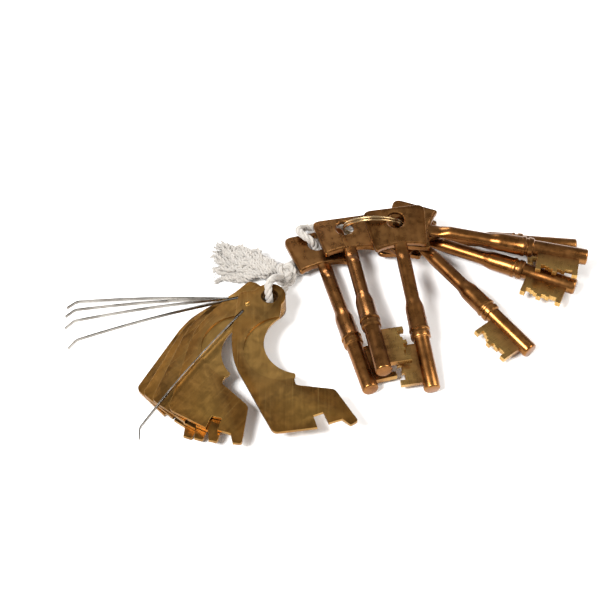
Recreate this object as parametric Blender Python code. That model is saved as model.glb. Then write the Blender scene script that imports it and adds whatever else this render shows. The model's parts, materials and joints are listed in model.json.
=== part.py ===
"""A bunch of mortice lock keys on a split ring, tied with cotton cord to the lock's five levers and springs.

All sizes are in millimetres and turned into metres at the end. The table is z = 0, +X is right, +Y is away.
"""
import math

import bmesh
import bpy
from mathutils import Matrix, Vector

MM = 0.001
GAP = 0.3

# where the middle of the set's own box lies, in the layout's millimetres
CENTRE_X = 11.1
CENTRE_Y = -14.7

# key
KEY_LENGTH = 72.0
HOLE_RADIUS = 3.5
BOW_THICK = 2.0
BOW_BACK = 5.5
BOW_FRONT = 12.2
BOW_BACK_HALF = 12.3
BOW_FRONT_HALF = 10.0
BOW_ROUND = 3.6
BOW_FRONT_HOLLOW = 1.6
SHANK_RADIUS = 2.7
NECK_LENGTH = 7.0
COLLAR_RADIUS = 3.95
PIN_RADIUS = 3.1
COLLAR_END = 51.2
BIT_START = 53.0
BIT_LENGTH = 16.0
BIT_REACH = 11.1
BIT_THICK = 2.2
# the lands along the bit's edge, from the collar: share of its length and how deep each is cut
BIT_CUTS = ((0.12, 0.0), (0.10, 2.5), (0.09, 1.9), (0.09, 1.2), (0.11, 0.0), (0.10, 1.6), (0.09, 1.2),
            (0.17, 2.1), (0.13, 0.0))

# split ring
RING_RADIUS = 11.5
RING_WIRE = 0.9
RING_PITCH = 1.0
RING_TURNS = 1.92
RING_LEAN = 65.0
RING_X = 28.6
RING_Y = 27.0
RING_Z = 11.8

# keys on the ring: name, side of the ring, bow height, pin end height, heading
RING_KEYS = (
    ("key_g", 1, 4.2, 4.0, -5.3),
    ("key_e", 1, 7.2, 5.5, -22.3),
    ("key_d", 1, 11.4, 3.2, -50.1),
    ("key_f", 1, 14.4, 11.0, -10.9),
    ("key_c", 1, 19.2, 3.2, -80.3),
    ("key_b", -1, 9.4, 10.2, -79.4),
)
# the key on the cord: place of its bow hole, bow height, pin end height, heading
CORD_KEY_PLACE = (6.4, 23.5)
CORD_KEY_HEIGHT = 5.7
CORD_KEY_END_HEIGHT = 3.15
CORD_KEY_HEADING = -74.2
KEYS_BIT_LEFT = ("key_a", "key_b")

# levers: how far each is turned about the pivot, from the lowest to the top one
LEVER_TURNS = (-55.0, -51.0, -46.0, -38.0, 0.0)
LEVER_THICK = 1.4
LEVER_PITCH = LEVER_THICK + GAP
LEVER_HOLE_RADIUS = 3.3
LEVER_BOSS_RADIUS = 6.0
PIVOT_X = -11.2
PIVOT_Y = -7.6
PIVOT_LIFT = 3.7
PACK_TILT = 3.2
PACK_TILT_HEADING = -117.0
BELLY_CENTRE = (12.2, -21.3)
BELLY_RADIUS = 14.2
RECESS_CENTRE = (4.8, -24.0)
RECESS_RADIUS = 14.2
RECESS_DEPTH = 0.5

# spring
SPRING_ROOT = (-9.9, -6.6)
SPRING_HEADING = -129.0
SPRING_SWEEP = 8.0
SPRING_SLOT_LENGTH = 4.4
SPRING_THICK = 0.4
SPRING_HEIGHT = 1.1
SPRING_LENGTH = 62.0
SPRING_TIP = 5.6
SPRING_TIP_TURN = 36.0
SPRING_SIDE_GAP = 0.4

# cord
CORD_RADIUS = 1.5
KNOT_CENTRE = (-5.6, 9.0, 4.6)
KNOT_RADII = (3.9, 5.8, 4.3)


def clear_scene():
    for item in list(bpy.data.objects):
        bpy.data.objects.remove(item, do_unlink=True)


def material(name, colour, roughness, metallic):
    made = bpy.data.materials.new(name)
    made.use_nodes = True
    shader = made.node_tree.nodes["Principled BSDF"]
    shader.inputs["Base Color"].default_value = (*colour, 1.0)
    shader.inputs["Roughness"].default_value = roughness
    shader.inputs["Metallic"].default_value = metallic
    return made


def add_object(name, mesh, paint, matrix=None):
    """Link a mesh built in millimetres as an object in metres."""
    made = bpy.data.objects.new(name, mesh)
    bpy.context.scene.collection.objects.link(made)
    if paint and not mesh.materials:
        mesh.materials.append(paint)
    if matrix is not None:
        made.matrix_world = matrix
    return made


def place(x, y, z):
    """A point of the layout, moved so that the set's box is centred on the origin."""
    return Vector((x - CENTRE_X, y - CENTRE_Y, z)) * MM


def mesh_from(bm, name):
    """Turn a millimetre bmesh into a metre mesh, round faces smooth."""
    bmesh.ops.scale(bm, vec=(MM, MM, MM), verts=bm.verts)
    bmesh.ops.recalc_face_normals(bm, faces=bm.faces)
    mesh = bpy.data.meshes.new(name)
    bm.to_mesh(mesh)
    bm.free()
    mesh.shade_smooth()
    mesh.set_sharp_from_angle(angle=math.radians(32))
    return mesh


def arc(centre, radius, start, end, steps):
    """Points on a circle from one angle to another, in degrees."""
    points = []
    for step in range(steps + 1):
        angle = math.radians(start + (end - start) * step / steps)
        points.append((centre[0] + radius * math.cos(angle), centre[1] + radius * math.sin(angle)))
    return points


def rounded(corner, before, after, radius, steps=4):
    """The points of a corner that is rounded by an arc, as a curve that leaves both sides smoothly."""
    corner, before, after = Vector(corner), Vector(before), Vector(after)
    back = (before - corner).normalized() * radius
    ahead = (after - corner).normalized() * radius
    points = []
    for step in range(steps + 1):
        t = step / steps
        point = (corner + back) * (1 - t) ** 2 + corner * 2 * t * (1 - t) + (corner + ahead) * t ** 2
        points.append((point.x, point.y))
    return points


def plate(outline, low, high):
    """A flat plate between two heights, from an outline given anticlockwise."""
    bm = bmesh.new()
    bottom = [bm.verts.new((x, y, low)) for x, y in outline]
    face = bm.faces.new(bottom)
    made = bmesh.ops.extrude_face_region(bm, geom=[face])
    top = [item for item in made["geom"] if isinstance(item, bmesh.types.BMVert)]
    bmesh.ops.translate(bm, vec=(0, 0, high - low), verts=top)
    return bm


def turned(profile, sides):
    """A solid along the X axis from points of (place along X, half width, half height)."""
    bm = bmesh.new()
    rings = []
    for along, half_width, half_height in profile:
        ring = []
        for side in range(sides):
            angle = math.tau * side / sides
            ring.append(bm.verts.new((along, half_width * math.cos(angle), half_height * math.sin(angle))))
        rings.append(ring)
    for first, second in zip(rings, rings[1:]):
        for side in range(sides):
            following = (side + 1) % sides
            bm.faces.new((first[side], first[following], second[following], second[side]))
    bm.faces.new(rings[0])
    bm.faces.new(rings[-1])
    return bm


def combine(base, others, operation, name):
    """Join or cut meshes with a boolean and return the evaluated mesh."""
    body = bpy.data.objects.new(name, base)
    bpy.context.scene.collection.objects.link(body)
    helpers = []
    for count, other in enumerate(others):
        helper = bpy.data.objects.new(f"{name}_helper_{count}", other)
        bpy.context.scene.collection.objects.link(helper)
        change = body.modifiers.new("boolean", "BOOLEAN")
        change.operation = operation
        change.solver = "EXACT"
        change.object = helper
        helpers.append(helper)
    seen = body.evaluated_get(bpy.context.evaluated_depsgraph_get())
    result = bpy.data.meshes.new_from_object(seen)
    for item in [body, *helpers]:
        bpy.data.objects.remove(item, do_unlink=True)
    result.shade_smooth()
    result.set_sharp_from_angle(angle=math.radians(32))
    return result


def drill(x, y, radius, name):
    """An upright cutter through a plate."""
    return mesh_from(plate(arc((x, y), radius, 0, 345, 23), -20, 20), name)


# ---------------------------------------------------------------- key

def bow_outline():
    """The flat handle: wide and rounded at the back, narrower at the front with a hollow edge."""
    left_back = (-BOW_BACK, BOW_BACK_HALF)
    right_back = (-BOW_BACK, -BOW_BACK_HALF)
    left_front = (BOW_FRONT, BOW_FRONT_HALF)
    right_front = (BOW_FRONT, -BOW_FRONT_HALF)
    outline = rounded(left_back, left_front, right_back, BOW_ROUND)
    outline += rounded(right_back, left_back, right_front, BOW_ROUND)
    outline += rounded(right_front, right_back, left_front, 1.0, 2)
    for share in (0.25, 0.5, 0.75):
        hollow = BOW_FRONT_HOLLOW * math.sin(math.pi * share)
        outline.append((BOW_FRONT - hollow, BOW_FRONT_HALF * (2 * share - 1)))
    outline += rounded(left_front, right_front, left_back, 1.0, 2)
    return outline


def key_profile():
    """The stem: a flattened neck, the round shank, the flared collar with its groove, and the pin."""
    lip = COLLAR_END - 4.0
    neck = BOW_FRONT - BOW_FRONT_HOLLOW - 1.2
    flat = BOW_THICK / 2 + 0.12
    turned_part = (
        (lip - 15.0, SHANK_RADIUS + 0.1),
        (lip - 6.0, SHANK_RADIUS + 0.55),
        (lip, COLLAR_RADIUS),
        (lip + 0.6, COLLAR_RADIUS),
        (lip + 0.8, COLLAR_RADIUS - 0.5),
        (lip + 1.7, COLLAR_RADIUS - 0.5),
        (lip + 1.9, COLLAR_RADIUS - 0.15),
        (COLLAR_END - 0.6, COLLAR_RADIUS - 0.15),
        (COLLAR_END, PIN_RADIUS),
        (KEY_LENGTH - 0.6, PIN_RADIUS),
        (KEY_LENGTH, PIN_RADIUS - 0.6),
    )
    stem = [(neck, SHANK_RADIUS - 0.2, flat), (BOW_FRONT + 1.5, SHANK_RADIUS - 0.1, flat)]
    stem.append((BOW_FRONT + NECK_LENGTH, SHANK_RADIUS, SHANK_RADIUS))
    return stem + [(along, radius, radius) for along, radius in turned_part]


def bit_outline(side):
    """The bit seen flat: from the pin's middle out to an edge of cut lands."""
    outline = [(BIT_START, 0.0)]
    along = BIT_START
    for share, depth in BIT_CUTS:
        outline.append((along, side * (BIT_REACH - depth)))
        along += share * BIT_LENGTH
        outline.append((along, side * (BIT_REACH - depth)))
    outline.append((BIT_START + BIT_LENGTH, 0.0))
    return outline


def key_mesh(side, name):
    bow = mesh_from(plate(bow_outline(), -BOW_THICK / 2, BOW_THICK / 2), "bow")
    stem = mesh_from(turned(key_profile(), 24), "stem")
    bit = mesh_from(plate(bit_outline(side), -BIT_THICK / 2, BIT_THICK / 2), "bit")
    solid = combine(bow, [stem, bit], "UNION", name)
    return combine(solid, [drill(0, 0, HOLE_RADIUS, "bow_hole")], "DIFFERENCE", name)


def key_matrix(x, y, height, end_height, heading):
    """Stand a key at its bow hole, headed one way and sloping down to its pin."""
    slope = math.asin((height - end_height) / KEY_LENGTH)
    turn = Matrix.Rotation(math.radians(heading), 4, "Z")
    dip = Matrix.Rotation(slope, 4, "Y")
    return Matrix.Translation(place(x, y, height)) @ turn @ dip


def ring_crossing(side, height):
    """Where the ring's wire passes a height, on its right (1) or left (-1) side."""
    lean = math.radians(RING_LEAN)
    rise = (height - RING_Z) / (RING_RADIUS * math.sin(lean))
    across = math.sqrt(1 - rise * rise)
    return RING_X + side * RING_RADIUS * across, RING_Y - RING_RADIUS * math.cos(lean) * rise


def make_keys(paint):
    left = key_mesh(1, "key_bit_left")
    right = key_mesh(-1, "key_bit_right")
    for name, side, height, end_height, heading in RING_KEYS:
        x, y = ring_crossing(side, height)
        mesh = left if name in KEYS_BIT_LEFT else right
        add_object(name, mesh, paint, key_matrix(x, y, height, end_height, heading))
    matrix = key_matrix(*CORD_KEY_PLACE, CORD_KEY_HEIGHT, CORD_KEY_END_HEIGHT, CORD_KEY_HEADING)
    add_object("key_a", left, paint, matrix)


# ---------------------------------------------------------------- ring

def tube(points, radius, sides, name):
    """A closed tube of round section along a path of points, in millimetres."""
    bm = bmesh.new()
    rings = []
    normal = Vector((0, 0, 1))
    for count, point in enumerate(points):
        before = points[max(count - 1, 0)]
        after = points[min(count + 1, len(points) - 1)]
        ahead = (after - before).normalized()
        normal = (normal - ahead * normal.dot(ahead)).normalized()
        across = ahead.cross(normal)
        ring = []
        for side in range(sides):
            angle = math.tau * side / sides
            ring.append(bm.verts.new(point + (normal * math.cos(angle) + across * math.sin(angle)) * radius))
        rings.append(ring)
    for first, second in zip(rings, rings[1:]):
        for side in range(sides):
            following = (side + 1) % sides
            bm.faces.new((first[side], first[following], second[following], second[side]))
    bm.faces.new(rings[0])
    bm.faces.new(rings[-1])
    return mesh_from(bm, name)


def make_ring(paint):
    """Nearly two turns of springy wire lying side by side."""
    points = []
    steps = int(52 * RING_TURNS)
    for step in range(steps + 1):
        angle = math.tau * RING_TURNS * step / steps - math.radians(60)
        rise = RING_PITCH * (RING_TURNS * step / steps - RING_TURNS / 2)
        points.append(Vector((RING_RADIUS * math.cos(angle), RING_RADIUS * math.sin(angle), rise)))
    lean = Matrix.Rotation(math.pi - math.radians(RING_LEAN), 4, "X")
    matrix = Matrix.Translation(place(RING_X, RING_Y, RING_Z)) @ lean
    add_object("split_ring", tube(points, RING_WIRE / 2, 8, "split_ring"), paint, matrix)


# ---------------------------------------------------------------- levers and springs

def lever_outline():
    """One lever seen flat, its pivot hole at the origin, anticlockwise."""
    shoulder = (-6.2, 2.7)
    lobe_top = (-11.6, 2.4)
    lobe_side = (-13.3, -11.5)
    heel = (1.8, -61.0)
    foot_corner = (24.0, -42.6)
    outline = arc((0, 0), LEVER_BOSS_RADIUS, 148, -42, 14)[::-1]
    outline += rounded(shoulder, outline[-1], lobe_top, 0.8, 2)
    outline += rounded(lobe_top, shoulder, lobe_side, 2.2)
    outline += [lobe_side, (-13.8, -17.5), (-13.7, -23.0), (-13.0, -28.5), (-11.2, -34.0)]
    outline += rounded(heel, (-11.2, -34.0), (17.6, -59.0), 2.0)
    # gate slot and the two tabs
    outline += [(17.6, -59.0), (16.1, -53.9), (19.7, -52.5), (21.6, -57.2), (26.4, -55.6), (29.4, -58.2)]
    outline += rounded((32.2, -56.4), (29.4, -58.2), foot_corner, 1.0, 2)
    outline += rounded(foot_corner, (32.2, -56.4), (9.9, -40.6), 1.2, 2)
    outline += rounded((9.9, -40.6), foot_corner, (9.3, -38.0), 1.0, 2)
    outline += [(9.3, -38.0)]
    outline += rounded((9.9, -35.6), (9.3, -38.0), (8.0, -34.4), 0.9, 2)
    outline += arc(BELLY_CENTRE, BELLY_RADIUS, 251, 126, 16)
    return outline


def spring_path():
    """The spring's middle line from its root in the slot to the bent tip."""
    steps = 14
    heading = SPRING_HEADING
    point = Vector(SPRING_ROOT)
    points = [point.copy()]
    for step in range(steps):
        heading += SPRING_SWEEP / steps if step else 0.0
        point += Vector((math.cos(math.radians(heading)), math.sin(math.radians(heading)))) * SPRING_LENGTH / steps
        points.append(point.copy())
    heading += SPRING_TIP_TURN
    point += Vector((math.cos(math.radians(heading)), math.sin(math.radians(heading)))) * SPRING_TIP
    points.append(point.copy())
    return points


def strip_outline(points, half):
    """The outline of a strip of even thickness along a path."""
    left, right = [], []
    for count, point in enumerate(points):
        ahead = (points[min(count + 1, len(points) - 1)] - points[max(count - 1, 0)]).normalized()
        across = Vector((-ahead.y, ahead.x)) * half
        left.append(tuple(point + across))
        right.append(tuple(point - across))
    return right + left[::-1]


def slot_cutter():
    """The saw slot in the lobe that takes the spring's root, with a gap all round."""
    ahead = Vector((math.cos(math.radians(SPRING_HEADING)), math.sin(math.radians(SPRING_HEADING))))
    root = Vector(SPRING_ROOT)
    path = [root - ahead * GAP, root + ahead * (SPRING_SLOT_LENGTH + 4.0)]
    half = SPRING_THICK / 2 + SPRING_SIDE_GAP
    return mesh_from(plate(strip_outline(path, half), -5, 5), "slot")


def lever_mesh():
    body = mesh_from(plate(lever_outline(), 0, LEVER_THICK), "lever")
    recess = arc(RECESS_CENTRE, RECESS_RADIUS, 0, 352.5, 47)
    cutters = [
        drill(0, 0, LEVER_HOLE_RADIUS, "pivot_hole"),
        slot_cutter(),
        mesh_from(plate(recess, LEVER_THICK - RECESS_DEPTH, LEVER_THICK + 5), "recess"),
    ]
    return combine(body, cutters, "DIFFERENCE", "lever")


def pack_matrix():
    """The lever pack's pivot: its plates lie over the cord, so they tilt a little onto their feet."""
    heading = math.radians(PACK_TILT_HEADING)
    axis = Vector((-math.sin(heading), math.cos(heading), 0))
    return Matrix.Translation(place(PIVOT_X, PIVOT_Y, PIVOT_LIFT)) @ Matrix.Rotation(math.radians(PACK_TILT), 4, axis)


def make_levers(brass, steel):
    lever = lever_mesh()
    low = (LEVER_THICK - SPRING_HEIGHT) / 2
    root = Vector((*SPRING_ROOT, 0))
    path = [point - Vector(SPRING_ROOT) for point in spring_path()]
    spring = mesh_from(plate(strip_outline(path, SPRING_THICK / 2), low, low + SPRING_HEIGHT), "spring")
    for count, turn in enumerate(LEVER_TURNS):
        layer = Matrix.Translation((0, 0, count * LEVER_PITCH * MM))
        matrix = pack_matrix() @ layer @ Matrix.Rotation(math.radians(turn), 4, "Z")
        add_object(f"lever_{count + 1}", lever, brass, matrix)
        add_object(f"spring_{count + 1}", spring, steel, matrix @ Matrix.Translation(root * MM))


# ---------------------------------------------------------------- cord

def smooth(points, steps):
    """A smooth curve through points given in the layout, with a few steps in each span."""
    points = [Vector(point) for point in points]
    curve = []
    for count in range(len(points) - 1):
        before = points[max(count - 1, 0)]
        start = points[count]
        end = points[count + 1]
        after = points[min(count + 2, len(points) - 1)]
        for step in range(steps):
            t = step / steps
            curve.append(0.5 * (2 * start + (end - before) * t
                                + (2 * before - 5 * start + 4 * end - after) * t ** 2
                                + (3 * start - before - 3 * end + after) * t ** 3))
    curve.append(points[-1])
    return curve


def cord_tube(name, route, steps, paint):
    """A plain round cord laid along a route of the layout."""
    data = bpy.data.curves.new(name, "CURVE")
    data.dimensions = "3D"
    data.bevel_depth = CORD_RADIUS * MM
    data.bevel_resolution = 2
    data.use_fill_caps = True
    points = smooth(route, steps)
    line = data.splines.new("POLY")
    line.points.add(len(points) - 1)
    for target, point in zip(line.points, points):
        target.co = (*place(*point), 1.0)
    data.materials.append(paint)
    made = bpy.data.objects.new(name, data)
    bpy.context.scene.collection.objects.link(made)


LEVER_LOOP = (
    (-8.2, 3.8, 8.6), (-10.0, -0.8, 13.7), (-11.8, -5.2, 15.1), (-11.7, -8.3, 11.9), (-11.2, -8.1, 7.0),
    (-10.6, -6.6, 3.0), (-8.9, -3.2, 1.75), (-6.8, 1.4, 1.8),
)
KEY_LOOP = (
    (0.2, 12.6, 2.2), (4.6, 15.8, 1.8), (10.0, 20.0, 1.8), (16.0, 24.5, 1.8), (21.5, 27.5, 2.2), (24.8, 29.2, 3.9),
    (25.6, 31.8, 4.9), (24.2, 34.8, 3.4), (19.5, 36.6, 1.8), (11.6, 36.4, 1.8), (3.4, 34.9, 3.0),
    (0.0, 31.4, 6.2), (-0.2, 27.4, 8.8), (2.2, 24.4, 9.2), (4.6, 23.4, 7.7), (6.1, 23.1, 4.6), (5.8, 21.5, 2.1),
    (3.0, 19.4, 1.8), (-0.6, 18.0, 1.8), (-3.6, 16.4, 2.0),
)


def knot_mesh():
    bm = bmesh.new()
    bmesh.ops.create_icosphere(bm, subdivisions=2, radius=1.0)
    bmesh.ops.scale(bm, vec=KNOT_RADII, verts=bm.verts)
    return mesh_from(bm, "knot")


def tassel_mesh():
    """The frayed end as one flat closed fan, thick at the knot and thin at the tips."""
    stations = (
        (-9.9, 12.9, 2.2, 2.6, 130), (-14.0, 15.2, 5.2, 2.4, 150), (-20.0, 17.4, 8.4, 2.0, 160),
        (-27.0, 18.8, 11.2, 1.6, 168), (-33.5, 19.6, 12.4, 1.1, 172),
    )
    bm = bmesh.new()
    rings = []
    for x, y, half, deep, heading in stations:
        across = Vector((-math.sin(math.radians(heading)), math.cos(math.radians(heading)), 0))
        ring = []
        for side in range(12):
            angle = math.tau * side / 12
            point = Vector((x, y, deep + 0.35)) + across * half * math.cos(angle)
            ring.append(bm.verts.new(point + Vector((0, 0, deep * math.sin(angle)))))
        rings.append(ring)
    for first, second in zip(rings, rings[1:]):
        for side in range(12):
            following = (side + 1) % 12
            bm.faces.new((first[side], first[following], second[following], second[side]))
    bm.faces.new(rings[0])
    bm.faces.new(rings[-1])
    return mesh_from(bm, "tassel")


def make_cord(paint):
    cord_tube("cord_lever_loop", LEVER_LOOP, 3, paint)
    cord_tube("cord_key_loop", KEY_LOOP, 3, paint)
    add_object("cord_knot", knot_mesh(), paint, Matrix.Translation(place(*KNOT_CENTRE)))
    add_object("cord_tassel", tassel_mesh(), paint, Matrix.Translation(place(0, 0, 0)))


def build():
    clear_scene()
    bronze = material("bronze", (0.30, 0.13, 0.05), 0.32, 1.0)
    brass = material("brass", (0.42, 0.24, 0.07), 0.34, 1.0)
    steel = material("steel", (0.55, 0.53, 0.5), 0.3, 1.0)
    wire = material("wire", (0.5, 0.36, 0.2), 0.3, 1.0)
    cotton = material("cotton", (0.78, 0.72, 0.64), 0.9, 0.0)
    make_keys(bronze)
    make_ring(wire)
    make_levers(brass, steel)
    make_cord(cotton)


build()
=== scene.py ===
"""Mortice lock keys on a split ring, tied with cotton cord to a lock's five levers and their springs."""
import json
import math
import random

import bmesh
import bpy
from mathutils import Matrix, Vector

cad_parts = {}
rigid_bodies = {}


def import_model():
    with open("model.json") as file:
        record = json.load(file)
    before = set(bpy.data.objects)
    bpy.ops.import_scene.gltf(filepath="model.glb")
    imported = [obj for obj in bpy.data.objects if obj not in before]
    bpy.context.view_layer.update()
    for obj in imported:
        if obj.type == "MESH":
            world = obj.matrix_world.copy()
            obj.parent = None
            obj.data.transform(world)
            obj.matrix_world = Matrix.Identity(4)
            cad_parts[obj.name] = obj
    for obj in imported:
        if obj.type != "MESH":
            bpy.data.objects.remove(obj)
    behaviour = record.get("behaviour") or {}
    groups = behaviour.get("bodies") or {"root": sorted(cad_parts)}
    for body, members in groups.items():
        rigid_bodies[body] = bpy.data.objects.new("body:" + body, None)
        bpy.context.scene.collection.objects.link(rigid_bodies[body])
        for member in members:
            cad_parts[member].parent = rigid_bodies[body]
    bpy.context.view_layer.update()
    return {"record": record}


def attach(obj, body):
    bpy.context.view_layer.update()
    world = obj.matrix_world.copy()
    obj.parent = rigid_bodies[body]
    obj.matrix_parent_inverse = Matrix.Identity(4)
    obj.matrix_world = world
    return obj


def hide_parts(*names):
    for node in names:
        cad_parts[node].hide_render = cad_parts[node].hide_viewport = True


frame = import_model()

MM = 0.001
JOINTS = {joint["child"]: joint for joint in frame["record"]["behaviour"]["joints"]}
ROOT = "ring_and_cord"

# layout of the set, in millimetres about the middle of its box
CENTRE_X = 11.1
CENTRE_Y = -14.7

# key
KEY_LENGTH = 72.0
HOLE_RADIUS = 3.5
BOW_THICK = 2.0
BOW_BACK = 5.5
BOW_FRONT = 12.2
BOW_BACK_HALF = 12.3
BOW_FRONT_HALF = 10.0
BOW_ROUND = 3.6
BOW_FRONT_HOLLOW = 1.6
BEAD_INSET = 0.75
BEAD_RADIUS = 0.34
SHANK_RADIUS = 2.7
NECK_LENGTH = 7.0
COLLAR_RADIUS = 3.95
SLEEVE_RADIUS = 3.55
SLEEVE_LENGTH = 8.5
FLARE_LENGTH = 5.0
PIN_RADIUS = 3.1
COLLAR_END = 51.2
BIT_START = 53.0
BIT_LENGTH = 16.0
BIT_REACH = 11.1
BIT_THICK = 2.2
BIT_CUTS = ((0.12, 0.0), (0.10, 2.5), (0.09, 1.9), (0.09, 1.2), (0.11, 0.0), (0.10, 1.6), (0.09, 1.2),
            (0.17, 2.1), (0.13, 0.0))
KEYS = ("key_a", "key_b", "key_c", "key_d", "key_e", "key_f", "key_g")
KEYS_BIT_LEFT = ("key_a", "key_b")

# split ring
RING_RADIUS = 11.5
RING_WIRE = 0.9
RING_PITCH = 1.0
RING_TURNS = 1.92
RING_LEAN = 65.0
RING_PLACE = (28.6, 27.0, 11.8)

# levers and springs
LEVER_TURNS = (-55.0, -51.0, -46.0, -38.0, 0.0)
LEVER_THICK = 1.4
LEVER_HOLE_RADIUS = 3.3
LEVER_BOSS_RADIUS = 6.0
BELLY_CENTRE = (12.2, -21.3)
BELLY_RADIUS = 14.2
RECESS_CENTRE = (4.8, -24.0)
RECESS_RADIUS = 14.2
RECESS_DEPTH = 0.5
STAKE_PLACE = (-8.3, -3.6)
SPRING_ROOT = (-9.9, -6.6)
SPRING_HEADING = -129.0
SPRING_SWEEP = 8.0
SPRING_SLOT_LENGTH = 4.4
SPRING_THICK = 0.4
SPRING_HEIGHT = 1.25
SPRING_LENGTH = 62.0
SPRING_TIP = 5.6
SPRING_TIP_TURN = 36.0
SPRING_SIDE_GAP = 0.4
SLOT_GAP = 0.3

# cord
CORD_RADIUS = 1.5
CORD_PLIES = 3
CORD_LAY = 7.0
YARN_SHARE = 0.52
TASSEL_YARNS = 74
TASSEL_FIBRES = 620
KNOT_CENTRE = (-5.6, 9.0, 4.6)
LEVER_LOOP = (
    (-8.2, 3.8, 8.6), (-10.0, -0.8, 13.7), (-11.8, -5.2, 15.1), (-11.7, -8.3, 11.9), (-11.2, -8.1, 7.0),
    (-10.6, -6.6, 3.0), (-8.9, -3.2, 1.75), (-6.8, 1.4, 1.8),
)
KEY_LOOP = (
    (0.2, 12.6, 2.2), (4.6, 15.8, 1.8), (10.0, 20.0, 1.8), (16.0, 24.5, 1.8), (21.5, 27.5, 2.2), (24.8, 29.2, 3.9),
    (25.6, 31.8, 4.9), (24.2, 34.8, 3.4), (19.5, 36.6, 1.8), (11.6, 36.4, 1.8), (3.4, 34.9, 3.0),
    (0.0, 31.4, 6.2), (-0.2, 27.4, 8.8), (2.2, 24.4, 9.2), (4.6, 23.4, 7.7), (6.1, 23.1, 4.6), (5.8, 21.5, 2.1),
    (3.0, 19.4, 1.8), (-0.6, 18.0, 1.8), (-3.6, 16.4, 2.0),
)

# camera
CAMERA_ELEVATION = 50.0
CAMERA_DISTANCE = 0.670
CAMERA_LENS = 104.52
CAMERA_SENSOR = 36.0


def place(x, y, z):
    return Vector((x - CENTRE_X, y - CENTRE_Y, z))


# ---------------------------------------------------------------- shapes

def rounded(corner, before, after, radius, steps=8):
    corner, before, after = Vector(corner), Vector(before), Vector(after)
    back = (before - corner).normalized() * radius
    ahead = (after - corner).normalized() * radius
    points = []
    for step in range(steps + 1):
        t = step / steps
        point = (corner + back) * (1 - t) ** 2 + corner * 2 * t * (1 - t) + (corner + ahead) * t ** 2
        points.append((point.x, point.y))
    return points


def arc(centre, radius, start, end, steps):
    points = []
    for step in range(steps + 1):
        angle = math.radians(start + (end - start) * step / steps)
        points.append((centre[0] + radius * math.cos(angle), centre[1] + radius * math.sin(angle)))
    return points


def to_mesh(bm, name):
    bmesh.ops.recalc_face_normals(bm, faces=bm.faces)
    mesh = bpy.data.meshes.new(name)
    bm.to_mesh(mesh)
    bm.free()
    return mesh


def plate(outline, low, high, bevel=0.0, name="plate"):
    """A flat plate between two heights with its edges broken by a small bevel."""
    bm = bmesh.new()
    face = bm.faces.new([bm.verts.new((x, y, low)) for x, y in outline])
    made = bmesh.ops.extrude_face_region(bm, geom=[face])
    top = [item for item in made["geom"] if isinstance(item, bmesh.types.BMVert)]
    bmesh.ops.translate(bm, vec=(0, 0, high - low), verts=top)
    bmesh.ops.recalc_face_normals(bm, faces=bm.faces)
    if bevel:
        rim = [edge for edge in bm.edges if abs(edge.verts[0].co.z - edge.verts[1].co.z) < 1e-6]
        bmesh.ops.bevel(bm, geom=rim, offset=bevel, segments=3, profile=0.6, affect="EDGES", clamp_overlap=True)
    return to_mesh(bm, name)


def lathe(profile, sides, name):
    """A solid along X from points of (place along X, half width, half height)."""
    bm = bmesh.new()
    rings = []
    for along, wide, tall in profile:
        ring = []
        for side in range(sides):
            angle = math.tau * side / sides
            ring.append(bm.verts.new((along, wide * math.cos(angle), tall * math.sin(angle))))
        rings.append(ring)
    for first, second in zip(rings, rings[1:]):
        for side in range(sides):
            following = (side + 1) % sides
            bm.faces.new((first[side], first[following], second[following], second[side]))
    bm.faces.new(rings[0])
    bm.faces.new(rings[-1])
    return to_mesh(bm, name)


def combine(base, others, operation, name):
    body = bpy.data.objects.new(name, base)
    bpy.context.scene.collection.objects.link(body)
    helpers = []
    for other in others:
        helper = bpy.data.objects.new("helper", other)
        bpy.context.scene.collection.objects.link(helper)
        change = body.modifiers.new("boolean", "BOOLEAN")
        change.operation = operation
        change.solver = "EXACT"
        change.object = helper
        helpers.append(helper)
    result = bpy.data.meshes.new_from_object(body.evaluated_get(bpy.context.evaluated_depsgraph_get()))
    for item in [body, *helpers]:
        bpy.data.objects.remove(item, do_unlink=True)
    return result


def sweep(points, radius_at, sides, bm, grain=None, seed=0.0):
    """Add a closed round tube along points to a bmesh; grain keeps (along, around) for the material."""
    normal = Vector((0.13, 0.2, 1.0)).normalized()
    rings = []
    along = 0.0
    for count, point in enumerate(points):
        if count:
            along += (point - points[count - 1]).length
        ahead = (points[min(count + 1, len(points) - 1)] - points[max(count - 1, 0)]).normalized()
        normal = (normal - ahead * normal.dot(ahead)).normalized()
        across = ahead.cross(normal)
        radius = radius_at(count / (len(points) - 1))
        ring = []
        for side in range(sides):
            angle = math.tau * side / sides
            vert = bm.verts.new(point + (normal * math.cos(angle) + across * math.sin(angle)) * radius)
            if grain is not None:
                vert[grain] = Vector((along, side / sides * 6.0 + seed, seed)) * MM
            ring.append(vert)
        rings.append(ring)
    for first, second in zip(rings, rings[1:]):
        for side in range(sides):
            following = (side + 1) % sides
            bm.faces.new((first[side], first[following], second[following], second[side]))
    bm.faces.new(rings[0][::-1])
    bm.faces.new(rings[-1])


def smooth(points, steps):
    points = [Vector(point) for point in points]
    curve = []
    for count in range(len(points) - 1):
        before = points[max(count - 1, 0)]
        start = points[count]
        end = points[count + 1]
        after = points[min(count + 2, len(points) - 1)]
        for step in range(steps):
            t = step / steps
            curve.append(0.5 * (2 * start + (end - before) * t
                                + (2 * before - 5 * start + 4 * end - after) * t ** 2
                                + (3 * start - before - 3 * end + after) * t ** 3))
    curve.append(points[-1])
    return curve


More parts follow.
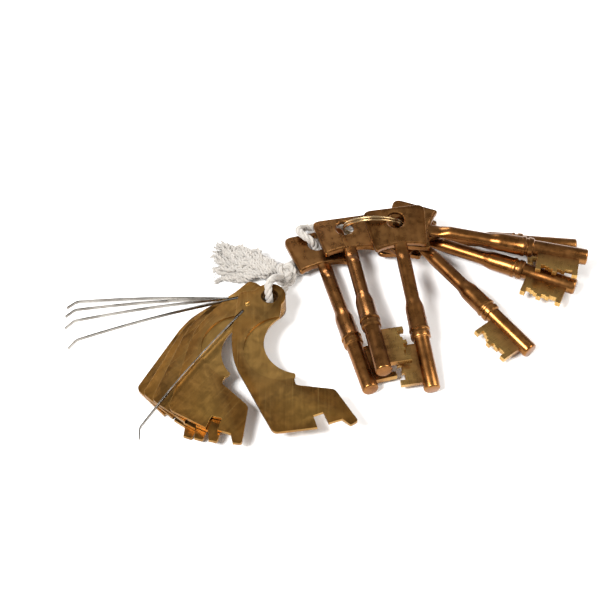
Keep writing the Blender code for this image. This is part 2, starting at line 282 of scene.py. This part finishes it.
def finish_piece(name, mesh, matrix, body, paint, nodes, seed=0.0, marks=None, sharp=32):
    """Keep the piece's own coordinates as its grain, put it in place and hand it to its body."""
    if "grain" not in mesh.attributes:
        grain = mesh.attributes.new("grain", "FLOAT_VECTOR", "POINT")
        for count, vert in enumerate(mesh.vertices):
            grain.data[count].vector = vert.co * MM + Vector((seed, seed * 0.7, seed * 0.3))
    if marks:
        mark = mesh.attributes.new("mark", "FLOAT", "POINT")
        for count, vert in enumerate(mesh.vertices):
            mark.data[count].value = marks(vert.co)
    bm = bmesh.new()
    bm.from_mesh(mesh)
    worn = bm.verts.layers.float.new("worn")
    for vert in bm.verts:
        bend = [edge.calc_face_angle(0.0) for edge in vert.link_edges]
        vert[worn] = min(1.0, max(bend, default=0.0) / 0.7)
    bm.to_mesh(mesh)
    bm.free()
    mesh.transform(matrix @ Matrix.Diagonal((MM, MM, MM, 1.0)))
    mesh.shade_smooth()
    mesh.set_sharp_from_angle(angle=math.radians(sharp))
    mesh.materials.clear()
    mesh.materials.append(paint)
    made = bpy.data.objects.new(name, mesh)
    bpy.context.scene.collection.objects.link(made)
    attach(made, body)
    if nodes:
        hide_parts(*nodes)
    return made


# ---------------------------------------------------------------- materials

class Paint:
    """A Principled material with short helpers for its nodes."""

    def __init__(self, name, metallic):
        self.material = bpy.data.materials.new(name)
        self.material.use_nodes = True
        self.tree = self.material.node_tree
        self.shader = self.tree.nodes["Principled BSDF"]
        self.shader.inputs["Metallic"].default_value = metallic

    def node(self, kind, **sockets):
        made = self.tree.nodes.new(kind)
        for key, value in sockets.items():
            self.feed(made.inputs[key.replace("_", " ")], value)
        return made

    def feed(self, socket, value):
        if isinstance(value, bpy.types.NodeSocket):
            self.tree.links.new(value, socket)
        else:
            socket.default_value = value

    def grain(self, name="grain"):
        made = self.tree.nodes.new("ShaderNodeAttribute")
        made.attribute_name = name
        return made.outputs["Vector"] if name == "grain" else made.outputs["Fac"]

    def stretch(self, vector, scale, turn=0.0):
        made = self.node("ShaderNodeMapping", Vector=vector, Scale=scale)
        made.inputs["Rotation"].default_value = (0, 0, math.radians(turn))
        return made.outputs["Vector"]

    def noise(self, vector, scale, detail=4.0, rough=0.55, warp=0.0):
        made = self.node("ShaderNodeTexNoise", Vector=vector, Scale=scale, Detail=detail, Roughness=rough,
                         Distortion=warp)
        return made.outputs["Fac"]

    def span(self, value, low, high, to_low=0.0, to_high=1.0):
        made = self.tree.nodes.new("ShaderNodeMapRange")
        for key, number in (("Value", value), ("From Min", low), ("From Max", high), ("To Min", to_low),
                            ("To Max", to_high)):
            self.feed(made.inputs[key], number)
        return made.outputs["Result"]

    def maths(self, operation, first, second):
        made = self.tree.nodes.new("ShaderNodeMath")
        made.operation = operation
        made.use_clamp = True
        self.feed(made.inputs[0], first)
        self.feed(made.inputs[1], second)
        return made.outputs["Value"]

    def blend(self, share, first, second):
        made = self.tree.nodes.new("ShaderNodeMix")
        made.data_type = "RGBA"
        self.feed(made.inputs["Factor"], share)
        self.feed(made.inputs[6], (*first, 1.0) if isinstance(first, tuple) else first)
        self.feed(made.inputs[7], (*second, 1.0) if isinstance(second, tuple) else second)
        return made.outputs[2]

    def bump(self, height, distance, strength=1.0, under=None):
        made = self.node("ShaderNodeBump", Height=height, Distance=distance, Strength=strength)
        if under:
            self.feed(made.inputs["Normal"], under)
        return made.outputs["Normal"]

    def done(self, colour, roughness, normal):
        self.feed(self.shader.inputs["Base Color"], colour)
        self.feed(self.shader.inputs["Roughness"], roughness)
        self.feed(self.shader.inputs["Normal"], normal)
        return self.material


def bronze_paint():
    """Forged key brass gone brown, rubbed bright on its edges, with freshly milled bits."""
    paint = Paint("key_bronze", 1.0)
    grain = paint.grain()
    tone = paint.span(paint.noise(grain, 55.0, 2.0, 0.5, 0.6), 0.34, 0.66)
    blotch = paint.span(paint.noise(grain, 300.0, 4.0, 0.55), 0.30, 0.72)
    lines = paint.noise(paint.stretch(grain, (45.0, 1900.0, 1900.0)), 1.0, 3.0, 0.6)
    speck = paint.span(paint.noise(grain, 1900.0, 2.0, 0.5), 0.66, 0.76)
    colour = paint.blend(tone, (0.100, 0.036, 0.009), (0.200, 0.078, 0.019))
    colour = paint.blend(paint.maths("MULTIPLY", blotch, 0.35), colour, (0.25, 0.105, 0.031))
    colour = paint.blend(paint.maths("MULTIPLY", speck, 0.25), colour, (0.045, 0.020, 0.009))
    wear = paint.maths("MULTIPLY", paint.grain("worn"), paint.span(blotch, 0.1, 0.7, 0.25, 0.9))
    colour = paint.blend(paint.maths("MULTIPLY", wear, 0.6), colour, (0.46, 0.23, 0.078))
    milled = paint.grain("mark")
    mill = paint.noise(paint.stretch(grain, (2400.0, 90.0, 90.0)), 1.0, 2.0, 0.5)
    bright = paint.blend(paint.span(mill, 0.3, 0.7), (0.42, 0.24, 0.070), (0.58, 0.36, 0.120))
    bright = paint.blend(paint.span(blotch, 0.55, 1.0, 0.0, 0.6), bright, (0.33, 0.17, 0.06))
    colour = paint.blend(milled, colour, bright)
    wear_and_lines = paint.maths("ADD", paint.maths("MULTIPLY", blotch, 0.5), paint.maths("MULTIPLY", lines, 0.5))
    rough = paint.span(wear_and_lines, 0.1, 0.9, 0.20, 0.40)
    height = paint.maths("ADD", paint.maths("MULTIPLY", lines, 0.8), paint.maths("MULTIPLY", blotch, 0.2))
    normal = paint.bump(height, 0.00003, 0.5)
    normal = paint.bump(paint.noise(grain, 90.0, 1.0, 0.5), 0.00012, 0.4, normal)
    return paint.done(colour, rough, normal)


def brass_paint():
    """Blanked sheet brass: rubbed one way, scratched across, tarnished in cloudy patches."""
    paint = Paint("lever_brass", 1.0)
    grain = paint.grain()
    tone = paint.span(paint.noise(grain, 42.0, 4.0, 0.6, 1.2), 0.40, 0.62)
    cloud = paint.span(paint.noise(grain, 240.0, 5.0, 0.7, 0.8), 0.42, 0.68)
    rub = paint.noise(paint.stretch(grain, (1700.0, 30.0, 1700.0), 24.0), 1.0, 4.0, 0.65)
    cross = paint.noise(paint.stretch(grain, (1500.0, 22.0, 1500.0), -58.0), 1.0, 2.0, 0.5)
    scratch = paint.span(cross, 0.62, 0.70)
    fine = paint.span(paint.noise(paint.stretch(grain, (2600.0, 45.0, 2600.0), 78.0), 1.0, 2.0, 0.5), 0.64, 0.72)
    colour = paint.blend(tone, (0.095, 0.036, 0.006), (0.300, 0.132, 0.024))
    colour = paint.blend(paint.maths("MULTIPLY", cloud, 0.6), colour, (0.110, 0.043, 0.009))
    colour = paint.blend(paint.span(rub, 0.35, 0.75, 0.0, 0.2), colour, (0.30, 0.165, 0.036))
    colour = paint.blend(paint.maths("MULTIPLY", paint.grain("mark"), 0.75), colour, (0.56, 0.33, 0.080))
    colour = paint.blend(paint.maths("MULTIPLY", scratch, 0.3), colour, (0.40, 0.25, 0.08))
    colour = paint.blend(paint.maths("MULTIPLY", fine, 0.3), colour, (0.12, 0.06, 0.02))
    colour = paint.blend(paint.maths("MULTIPLY", paint.grain("worn"), 0.5), colour, (0.44, 0.26, 0.08))
    rough = paint.span(paint.maths("ADD", paint.maths("MULTIPLY", cloud, 0.5), paint.maths("MULTIPLY", rub, 0.5)),
                       0.1, 0.9, 0.26, 0.50)
    height = paint.maths("SUBTRACT", paint.maths("MULTIPLY", rub, 0.7), paint.maths("MULTIPLY", scratch, 0.6))
    normal = paint.bump(height, 0.00003, 0.5)
    normal = paint.bump(paint.noise(grain, 55.0, 1.0, 0.5), 0.0003, 0.35, normal)
    return paint.done(colour, rough, normal)


def steel_paint():
    paint = Paint("spring_steel", 1.0)
    grain = paint.grain()
    lines = paint.noise(grain, 140.0, 2.0, 0.5)
    stain = paint.span(paint.noise(grain, 320.0, 5.0, 0.7), 0.5, 0.72)
    colour = paint.blend(paint.span(lines, 0.3, 0.7), (0.17, 0.155, 0.135), (0.40, 0.375, 0.34))
    colour = paint.blend(paint.maths("MULTIPLY", stain, 0.55), colour, (0.11, 0.075, 0.05))
    rough = paint.span(lines, 0.2, 0.8, 0.18, 0.40)
    return paint.done(colour, rough, paint.bump(lines, 0.00003, 0.5))


def wire_paint():
    paint = Paint("ring_wire", 1.0)
    grain = paint.grain()
    lines = paint.noise(paint.stretch(grain, (40.0, 1500.0, 1500.0)), 1.0, 3.0, 0.6)
    stain = paint.span(paint.noise(grain, 260.0, 4.0, 0.6), 0.45, 0.7)
    colour = paint.blend(paint.span(lines, 0.3, 0.7), (0.30, 0.19, 0.085), (0.55, 0.40, 0.21))
    colour = paint.blend(paint.maths("MULTIPLY", stain, 0.6), colour, (0.19, 0.11, 0.05))
    return paint.done(colour, paint.span(lines, 0.2, 0.8, 0.2, 0.4), paint.bump(lines, 0.00003, 0.5))


def cotton_paint():
    """Soft undyed cotton, its fibres running along each yarn, a little grubby in random patches."""
    paint = Paint("cord_cotton", 0.0)
    grain = paint.grain()
    fibre = paint.noise(paint.stretch(grain, (420.0, 5200.0, 900.0), 0.0), 1.0, 4.0, 0.65, 0.4)
    slub = paint.noise(grain, 330.0, 3.0, 0.6)
    colour = paint.blend(paint.span(fibre, 0.28, 0.7), (0.22, 0.20, 0.175), (0.60, 0.565, 0.52))
    colour = paint.blend(paint.span(slub, 0.45, 0.75, 0.0, 0.5), colour, (0.48, 0.42, 0.355))
    normal = paint.bump(fibre, 0.00035, 0.8)
    paint.shader.inputs["Sheen Weight"].default_value = 0.35
    paint.shader.inputs["Sheen Roughness"].default_value = 0.5
    return paint.done(colour, paint.span(slub, 0.2, 0.8, 0.86, 0.98), normal)


# ---------------------------------------------------------------- keys

def bow_outline():
    left_back = (-BOW_BACK, BOW_BACK_HALF)
    right_back = (-BOW_BACK, -BOW_BACK_HALF)
    left_front = (BOW_FRONT, BOW_FRONT_HALF)
    right_front = (BOW_FRONT, -BOW_FRONT_HALF)
    outline = rounded(left_back, left_front, right_back, BOW_ROUND, 12)
    outline += rounded(right_back, left_back, right_front, BOW_ROUND, 12)
    outline += rounded(right_front, right_back, left_front, 1.0, 5)
    outline += [front_edge(share / 16) for share in range(2, 15)]
    outline += rounded(left_front, right_front, left_back, 1.0, 5)
    return outline


def front_edge(share, inset=0.0):
    """A point of the bow's hollow front edge, from its right end (0) to its left (1)."""
    hollow = BOW_FRONT_HOLLOW * math.sin(math.pi * share)
    return BOW_FRONT - hollow - inset, BOW_FRONT_HALF * (2 * share - 1)


def stem_profile():
    lip = COLLAR_END - 4.0
    neck = BOW_FRONT - BOW_FRONT_HOLLOW - 1.2
    flat = BOW_THICK / 2 + 0.12
    profile = [(neck, SHANK_RADIUS - 0.2, flat), (BOW_FRONT + 0.4, SHANK_RADIUS - 0.1, flat + 0.05)]
    for step in range(1, 9):
        t = step / 8
        ease = t * t * (3 - 2 * t)
        profile.append((BOW_FRONT + 1.0 + (NECK_LENGTH - 1.0) * t, SHANK_RADIUS - 0.1 * (1 - t),
                        flat + 0.05 + (SHANK_RADIUS - flat - 0.05) * ease))
    start = lip - SLEEVE_LENGTH - FLARE_LENGTH
    for step in range(9):
        t = step / 8
        radius = SHANK_RADIUS + (SLEEVE_RADIUS - SHANK_RADIUS) * t * t * (3 - 2 * t)
        profile.append((start + FLARE_LENGTH * t, radius, radius))
    profile.append((lip - 0.9, SLEEVE_RADIUS + 0.12, SLEEVE_RADIUS + 0.12))
    profile.append((lip - 0.35, COLLAR_RADIUS - 0.1, COLLAR_RADIUS - 0.1))
    groove = COLLAR_RADIUS - 0.5
    body = COLLAR_RADIUS - 0.15
    for along, radius in (
            (lip + 0.15, COLLAR_RADIUS), (lip + 0.5, COLLAR_RADIUS - 0.02), (lip + 0.66, COLLAR_RADIUS - 0.14),
            (lip + 0.8, groove), (lip + 1.2, groove - 0.05), (lip + 1.6, groove), (lip + 1.75, body - 0.14),
            (lip + 1.9, body), (COLLAR_END - 0.8, body), (COLLAR_END - 0.35, body - 0.12),
            (COLLAR_END - 0.1, body - 0.4), (COLLAR_END, PIN_RADIUS + 0.05), (COLLAR_END + 0.25, PIN_RADIUS),
            (COLLAR_END + 8.0, PIN_RADIUS), (KEY_LENGTH - 0.7, PIN_RADIUS), (KEY_LENGTH - 0.3, PIN_RADIUS - 0.14),
            (KEY_LENGTH - 0.06, PIN_RADIUS - 0.42), (KEY_LENGTH, PIN_RADIUS - 0.7)):
        profile.append((along, radius, radius))
    return profile


def bit_outline(side):
    outline = [(BIT_START, 0.0)]
    along = BIT_START
    for share, depth in BIT_CUTS:
        outline.append((along, side * (BIT_REACH - depth)))
        along += share * BIT_LENGTH
        outline.append((along, side * (BIT_REACH - depth)))
    outline.append((BIT_START + BIT_LENGTH, 0.0))
    return outline


def bead(height):
    """The raised line that runs along the bow's front edge."""
    bm = bmesh.new()
    points = [Vector((*front_edge(0.04 + 0.92 * step / 24, BEAD_INSET), height)) for step in range(25)]
    sweep(points, lambda t: BEAD_RADIUS * min(1.0, 0.35 + 9 * min(t, 1 - t)), 10, bm)
    return to_mesh(bm, "bead")


def drill(x, y, radius, name, sides=48):
    return plate(arc((x, y), radius, 0, 360 - 360 / sides, sides - 1), -20, 20, 0.0, name)


def countersink():
    """Eases the edge of the bow's hole on both faces."""
    half = BOW_THICK / 2
    rim = HOLE_RADIUS + 0.35
    profile = [(-half - 0.2, rim + 0.2), (-half + 0.35, HOLE_RADIUS), (half - 0.35, HOLE_RADIUS),
               (half + 0.2, rim + 0.2)]
    mesh = lathe([(along, radius, radius) for along, radius in profile], 48, "countersink")
    mesh.transform(Matrix.Rotation(math.radians(90), 4, "Y"))
    return mesh


def key_mesh(side):
    half = BOW_THICK / 2
    bow = plate(bow_outline(), -half, half, 0.32, "bow")
    stem = lathe(stem_profile(), 40, "stem")
    bit = plate(bit_outline(side), -BIT_THICK / 2, BIT_THICK / 2, 0.12, "bit")
    solid = combine(bow, [stem, bit, bead(half - 0.08), bead(0.08 - half)], "UNION", "key")
    return combine(solid, [countersink()], "DIFFERENCE", "key")


def milled(co):
    """How far a point of a key lies on its bit, which is cut after the key is cast."""
    out = (abs(co.y) - PIN_RADIUS) / 1.2
    return max(0.0, min(1.0, out)) if co.x > BIT_START - 0.2 else 0.0


def key_matrix(name):
    """Where a key lies: from its bow hole to the middle of its pin's end."""
    hole = Vector(JOINTS[name]["pos_m"])
    points = [vert.co for vert in bpy.data.objects[name].data.vertices]
    reach = max((point - hole).length for point in points)
    ends = [point for point in points if reach - (point - hole).length < 0.00002]
    ahead = (sum(ends, Vector()) / len(ends) - hole).normalized()
    side = Vector((0, 0, 1)).cross(ahead).normalized()
    up = ahead.cross(side)
    turn = Matrix((ahead, side, up)).transposed().to_4x4()
    return Matrix.Translation(hole) @ turn


def make_keys(paint):
    meshes = {1: key_mesh(1), -1: key_mesh(-1)}
    for count, name in enumerate(KEYS):
        side = 1 if name in KEYS_BIT_LEFT else -1
        finish_piece("bronze_" + name, meshes[side].copy(), key_matrix(name), name, paint, [name],
                     seed=0.11 * count, marks=milled)


# ---------------------------------------------------------------- ring

def make_ring(paint):
    points = []
    steps = 200
    for step in range(steps + 1):
        angle = math.tau * RING_TURNS * step / steps - math.radians(60)
        rise = RING_PITCH * (RING_TURNS * step / steps - RING_TURNS / 2)
        points.append(Vector((RING_RADIUS * math.cos(angle), RING_RADIUS * math.sin(angle), rise)))
    bm = bmesh.new()
    grain = bm.verts.layers.float_vector.new("grain")
    sweep(points, lambda t: RING_WIRE / 2 * min(1.0, 0.7 + 60 * min(t, 1 - t)), 14, bm, grain)
    lean = Matrix.Rotation(math.pi - math.radians(RING_LEAN), 4, "X")
    matrix = Matrix.Translation(place(*RING_PLACE) * MM) @ lean
    finish_piece("ring_wire", to_mesh(bm, "ring_wire"), matrix, ROOT, paint, ["split_ring"], sharp=60)


# ---------------------------------------------------------------- levers and springs

def lever_outline():
    shoulder = (-6.2, 2.7)
    lobe_top = (-11.6, 2.4)
    lobe_side = (-13.3, -11.5)
    heel = (1.8, -61.0)
    foot_corner = (24.0, -42.6)
    outline = arc((0, 0), LEVER_BOSS_RADIUS, 148, -42, 44)[::-1]
    outline += rounded(shoulder, outline[-1], lobe_top, 0.8, 5)
    outline += rounded(lobe_top, shoulder, lobe_side, 2.2, 10)
    back = [(*point, 0) for point in (lobe_side, (-13.8, -17.5), (-13.7, -23.0), (-13.0, -28.5), (-11.2, -34.0))]
    outline += [(point.x, point.y) for point in smooth(back, 4)]
    outline += rounded(heel, (-11.2, -34.0), (17.6, -59.0), 2.0, 10)
    outline += [(17.6, -59.0), (16.1, -53.9), (19.7, -52.5), (21.6, -57.2), (26.4, -55.6), (29.4, -58.2)]
    outline += rounded((32.2, -56.4), (29.4, -58.2), foot_corner, 1.0, 5)
    outline += rounded(foot_corner, (32.2, -56.4), (9.9, -40.6), 1.2, 5)
    outline += rounded((9.9, -40.6), foot_corner, (9.3, -38.0), 1.0, 5)
    outline += [(9.3, -38.0)]
    outline += rounded((9.9, -35.6), (9.3, -38.0), (8.0, -34.4), 0.9, 5)
    outline += arc(BELLY_CENTRE, BELLY_RADIUS, 251, 126, 44)
    return outline


def spring_path(steps):
    heading = SPRING_HEADING
    point = Vector(SPRING_ROOT)
    points = [point.copy()]
    for step in range(steps):
        heading += SPRING_SWEEP / steps if step else 0.0
        ahead = Vector((math.cos(math.radians(heading)), math.sin(math.radians(heading))))
        point = point + ahead * SPRING_LENGTH / steps
        points.append(point.copy())
    steps = 6
    for step in range(steps):
        heading += SPRING_TIP_TURN / 3 if step < 3 else 0.0
        ahead = Vector((math.cos(math.radians(heading)), math.sin(math.radians(heading))))
        point = point + ahead * SPRING_TIP / steps
        points.append(point.copy())
    return points


def strip_outline(points, half):
    left, right = [], []
    for count, point in enumerate(points):
        ahead = (points[min(count + 1, len(points) - 1)] - points[max(count - 1, 0)]).normalized()
        across = Vector((-ahead.y, ahead.x)) * half
        left.append(tuple(point + across))
        right.append(tuple(point - across))
    return right + left[::-1]


def lever_mesh():
    body = plate(lever_outline(), 0, LEVER_THICK, 0.16, "lever")
    ahead = Vector((math.cos(math.radians(SPRING_HEADING)), math.sin(math.radians(SPRING_HEADING))))
    root = Vector(SPRING_ROOT)
    slot = strip_outline([root - ahead * SLOT_GAP, root + ahead * (SPRING_SLOT_LENGTH + 4.0)],
                         SPRING_THICK / 2 + SPRING_SIDE_GAP)
    recess = arc(RECESS_CENTRE, RECESS_RADIUS, 0, 357, 119)
    stake = arc(STAKE_PLACE, 1.15, 0, 345, 23)
    cutters = [
        drill(0, 0, LEVER_HOLE_RADIUS, "pivot_hole"),
        plate(slot, -5, 5, 0.0, "slot"),
        plate(recess, LEVER_THICK - RECESS_DEPTH, LEVER_THICK + 5, 0.0, "recess"),
        plate(stake, LEVER_THICK - 0.22, LEVER_THICK + 5, 0.0, "stake"),
    ]
    solid = combine(body, cutters, "DIFFERENCE", "lever")
    profile = [(LEVER_THICK - 0.4, 0.85), (LEVER_THICK - 0.1, 0.85), (LEVER_THICK - 0.03, 0.7)]
    boss = lathe([(along, radius, radius) for along, radius in profile], 24, "stake_boss")
    boss.transform(Matrix.Translation((*STAKE_PLACE, 0)) @ Matrix.Rotation(math.radians(-90), 4, "Y"))
    return combine(solid, [boss], "UNION", "lever")


def rubbed(co):
    """How bright a point of a lever's foot is rubbed."""
    away = math.hypot(co.x - 14.0, co.y + 50.5)
    near = max(0.0, min(1.0, (9.0 - away) / 7.0))
    on_stake = math.hypot(co.x - STAKE_PLACE[0], co.y - STAKE_PLACE[1]) < 0.9
    stake = 1.0 if on_stake and co.z > LEVER_THICK - 0.15 else 0.0
    floor = 0.35 if abs(co.z - (LEVER_THICK - RECESS_DEPTH)) < 0.01 else 0.0
    return max(near * 0.8, stake, floor)


def lever_matrix(count):
    joint = JOINTS[f"lever_{count + 1}"]
    axis = Vector(joint["axis"])
    tilt = Vector((0, 0, 1)).rotation_difference(axis).to_matrix().to_4x4()
    base = Vector(joint["pos_m"]) - axis.normalized() * LEVER_THICK / 2 * MM
    return Matrix.Translation(base) @ tilt @ Matrix.Rotation(math.radians(LEVER_TURNS[count]), 4, "Z")


def make_levers(brass, steel):
    lever = lever_mesh()
    low = (LEVER_THICK - SPRING_HEIGHT) / 2
    path = [point - Vector(SPRING_ROOT) for point in spring_path(40)]
    spring = plate(strip_outline(path, SPRING_THICK / 2 + 0.05), low, low + SPRING_HEIGHT, 0.06, "spring")
    root = Matrix.Translation(Vector((*SPRING_ROOT, 0)) * MM)
    for count in range(len(LEVER_TURNS)):
        name = f"lever_{count + 1}"
        finish_piece("brass_" + name, lever.copy(), lever_matrix(count), name, brass, [name],
                     seed=0.17 * count + 0.05, marks=rubbed)
        name = f"spring_{count + 1}"
        finish_piece("steel_" + name, spring.copy(), lever_matrix(count) @ root, name, steel, [name],
                     seed=0.09 * count)


# ---------------------------------------------------------------- cord

def plied(points, bm, grain, cord_radius, plies, lay, seed=0.0, sides=12, taper=None):
    """Yarns twisted round each other along a path."""
    normal = Vector((0.13, 0.2, 1.0)).normalized()
    yarns = [[] for _ in range(plies)]
    along = 0.0
    for count, point in enumerate(points):
        if count:
            along += (point - points[count - 1]).length
        ahead = (points[min(count + 1, len(points) - 1)] - points[max(count - 1, 0)]).normalized()
        normal = (normal - ahead * normal.dot(ahead)).normalized()
        across = ahead.cross(normal)
        share = count / (len(points) - 1)
        size = cord_radius * (taper(share) if taper else 1.0)
        for ply in range(plies):
            angle = math.tau * (ply / plies + along / lay) + seed
            yarns[ply].append(point + (normal * math.cos(angle) + across * math.sin(angle)) * size * 0.5)
    for ply, yarn in enumerate(yarns):
        sweep(yarn, lambda t: cord_radius * YARN_SHARE * (taper(t) if taper else 1.0), sides, bm, grain,
              seed + ply * 1.7)


def cord_piece(name, route, node, paint):
    points = smooth([place(*point) for point in route], 10)
    bm = bmesh.new()
    grain = bm.verts.layers.float_vector.new("grain")
    plied(points, bm, grain, CORD_RADIUS, CORD_PLIES, CORD_LAY, seed=1.0 + len(route))
    made = finish_piece(name, to_mesh(bm, name), Matrix.Identity(4), ROOT, paint, [node], sharp=180)
    return made


def knot_piece(paint):
    """An overhand knot drawn tight, its strand wound over and through itself."""
    centre = place(*KNOT_CENTRE)
    points = []
    steps = 150
    for step in range(steps + 1):
        t = math.tau * step / steps
        wide = 2.0 + math.cos(3 * t)
        points.append(centre + Vector((0.95 * wide * math.cos(2 * t), 1.45 * wide * math.sin(2 * t),
                                       2.1 * math.sin(3 * t))))
    bm = bmesh.new()
    grain = bm.verts.layers.float_vector.new("grain")
    plied(points, bm, grain, CORD_RADIUS, CORD_PLIES, CORD_LAY, seed=4.0)
    return finish_piece("cotton_knot", to_mesh(bm, "cotton_knot"), Matrix.Identity(4), ROOT, paint,
                        ["cord_knot"], sharp=180)


def tassel_piece(paint):
    """The cord's end teased out into loose wavy yarns and fibres."""
    draw = random.Random(11)
    bm = bmesh.new()
    grain = bm.verts.layers.float_vector.new("grain")
    start = place(-7.6, 11.4, 4.0)
    for count in range(TASSEL_YARNS):
        spread = draw.uniform(-1, 1)
        reach = draw.uniform(0.72, 1.0) * (1.0 - 0.10 * abs(spread))
        rise = draw.uniform(0, 1)
        end = place(-8.0 - 28.0 * reach, 15.5 + 3.6 * reach + 13.0 * spread * reach, 0.6 + 2.2 * rise)
        side = (end - start).cross(Vector((0, 0, 1))).normalized()
        phase = draw.uniform(0, math.tau)
        wave = draw.uniform(0.5, 1.5)
        bend = draw.uniform(-2.4, 2.4)
        turns = draw.uniform(2.0, 3.6)
        lift = draw.uniform(0.4, 2.6)
        points = []
        for step in range(34):
            t = step / 33
            swing = wave * math.sin(math.tau * turns * t + phase) * min(1.0, 3 * t) + bend * math.sin(math.pi * t)
            point = start.lerp(end, t) + side * swing
            point.z += lift * math.sin(math.pi * min(1.0, t * 1.25))
            point.z += 0.35 * wave * math.cos(math.tau * turns * t + phase)
            point.z = max(0.55, min(point.z, 6.0))
            points.append(point)
        plied(points, bm, grain, draw.uniform(0.65, 1.05), 2, draw.uniform(3.0, 4.4), seed=count * 0.7, sides=7,
              taper=lambda t: 1.0 if t < 0.86 else max(0.35, 1.0 - 4.0 * (t - 0.86)))
    for count in range(TASSEL_FIBRES):
        t = draw.uniform(0.15, 1.0)
        spread = draw.uniform(-1.05, 1.05)
        root = start.lerp(place(-8.0 - 26.0, 19.0 + 11.6 * spread, 1.6), t)
        heading = Vector((draw.uniform(-1, 0.15), draw.uniform(-0.8, 0.8), draw.uniform(-0.25, 0.6))).normalized()
        curl = Vector((draw.uniform(-1, 1), draw.uniform(-1, 1), draw.uniform(-0.4, 0.8)))
        length = draw.uniform(2.0, 5.5)
        points = []
        for step in range(6):
            s = step / 5
            point = root + heading * length * s + curl * 1.1 * s * s
            point.z = max(0.12, min(point.z, 6.2))
            point.x = max(point.x, place(-35.5, 0, 0).x)
            points.append(point)
        sweep(points, lambda s: 0.045 * (1.0 - 0.6 * s), 3, bm, grain, count * 0.3)
    return finish_piece("cotton_tassel", to_mesh(bm, "cotton_tassel"), Matrix.Identity(4), ROOT, paint,
                        ["cord_tassel"], sharp=180)


def make_cord(paint):
    knot = knot_piece(paint)
    tassel = tassel_piece(paint)
    centre = KNOT_CENTRE
    lever_route = ((centre[0] - 0.6, centre[1] - 2.0, 5.6), *LEVER_LOOP, (centre[0] + 0.2, centre[1] - 3.0, 3.2))
    key_route = ((centre[0] + 2.0, centre[1] + 1.6, 3.6), *KEY_LOOP, (centre[0] + 0.2, centre[1] + 3.6, 3.4))
    cord_piece("cotton_lever_loop", lever_route, "cord_lever_loop", paint)
    cord_piece("cotton_key_loop", key_route, "cord_key_loop", paint)


# ---------------------------------------------------------------- camera, floor and light

def make_camera():
    """Looks down at the set from the front."""
    elevation = math.radians(CAMERA_ELEVATION)
    distance = CAMERA_DISTANCE
    target = place(0, 0, 0) * MM
    data = bpy.data.cameras.new("camera")
    data.sensor_width = CAMERA_SENSOR
    data.lens = CAMERA_LENS
    data.clip_start = 0.05
    data.clip_end = 20.0
    camera = bpy.data.objects.new("camera", data)
    camera.location = target + Vector((0, -math.cos(elevation), math.sin(elevation))) * distance
    camera.rotation_euler = (math.radians(90) - elevation, 0, 0)
    bpy.context.scene.collection.objects.link(camera)
    bpy.context.scene.camera = camera


def make_floor():
    bm = bmesh.new()
    bmesh.ops.create_grid(bm, x_segments=1, y_segments=1, size=2.5)
    mesh = bpy.data.meshes.new("floor")
    bm.to_mesh(mesh)
    bm.free()
    paint = bpy.data.materials.new("floor_white")
    paint.use_nodes = True
    shader = paint.node_tree.nodes["Principled BSDF"]
    shader.inputs["Base Color"].default_value = (0.93, 0.93, 0.93, 1.0)
    shader.inputs["Roughness"].default_value = 0.85
    mesh.materials.append(paint)
    floor = bpy.data.objects.new("floor", mesh)
    bpy.context.scene.collection.objects.link(floor)


def area_light(name, place_at, size, power, colour=(1.0, 1.0, 1.0)):
    data = bpy.data.lights.new(name, "AREA")
    data.shape = "RECTANGLE"
    data.size, data.size_y = size
    data.energy = power
    data.color = colour
    light = bpy.data.objects.new(name, data)
    light.location = place_at
    light.rotation_euler = (-Vector(place_at)).to_track_quat("-Z", "Y").to_euler()
    bpy.context.scene.collection.objects.link(light)


def make_lights():
    world = bpy.data.worlds.new("studio")
    world.use_nodes = True
    back = world.node_tree.nodes["Background"]
    back.inputs["Color"].default_value = (1.0, 0.98, 0.96, 1.0)
    back.inputs["Strength"].default_value = 0.34
    bpy.context.scene.world = world
    area_light("key_light", (-0.70, -0.62, 1.12), (0.5, 0.36), 34.0)
    area_light("fill_light", (0.9, -0.1, 0.8), (0.5, 0.7), 12.0, (1.0, 0.97, 0.93))
    area_light("back_light", (-0.35, 1.0, 0.55), (0.5, 0.2), 6.0)
    bpy.context.scene.view_settings.view_transform = "Standard"


make_camera()
make_cord(cotton_paint())
make_keys(bronze_paint())
make_ring(wire_paint())
make_levers(brass_paint(), steel_paint())
make_floor()
make_lights()
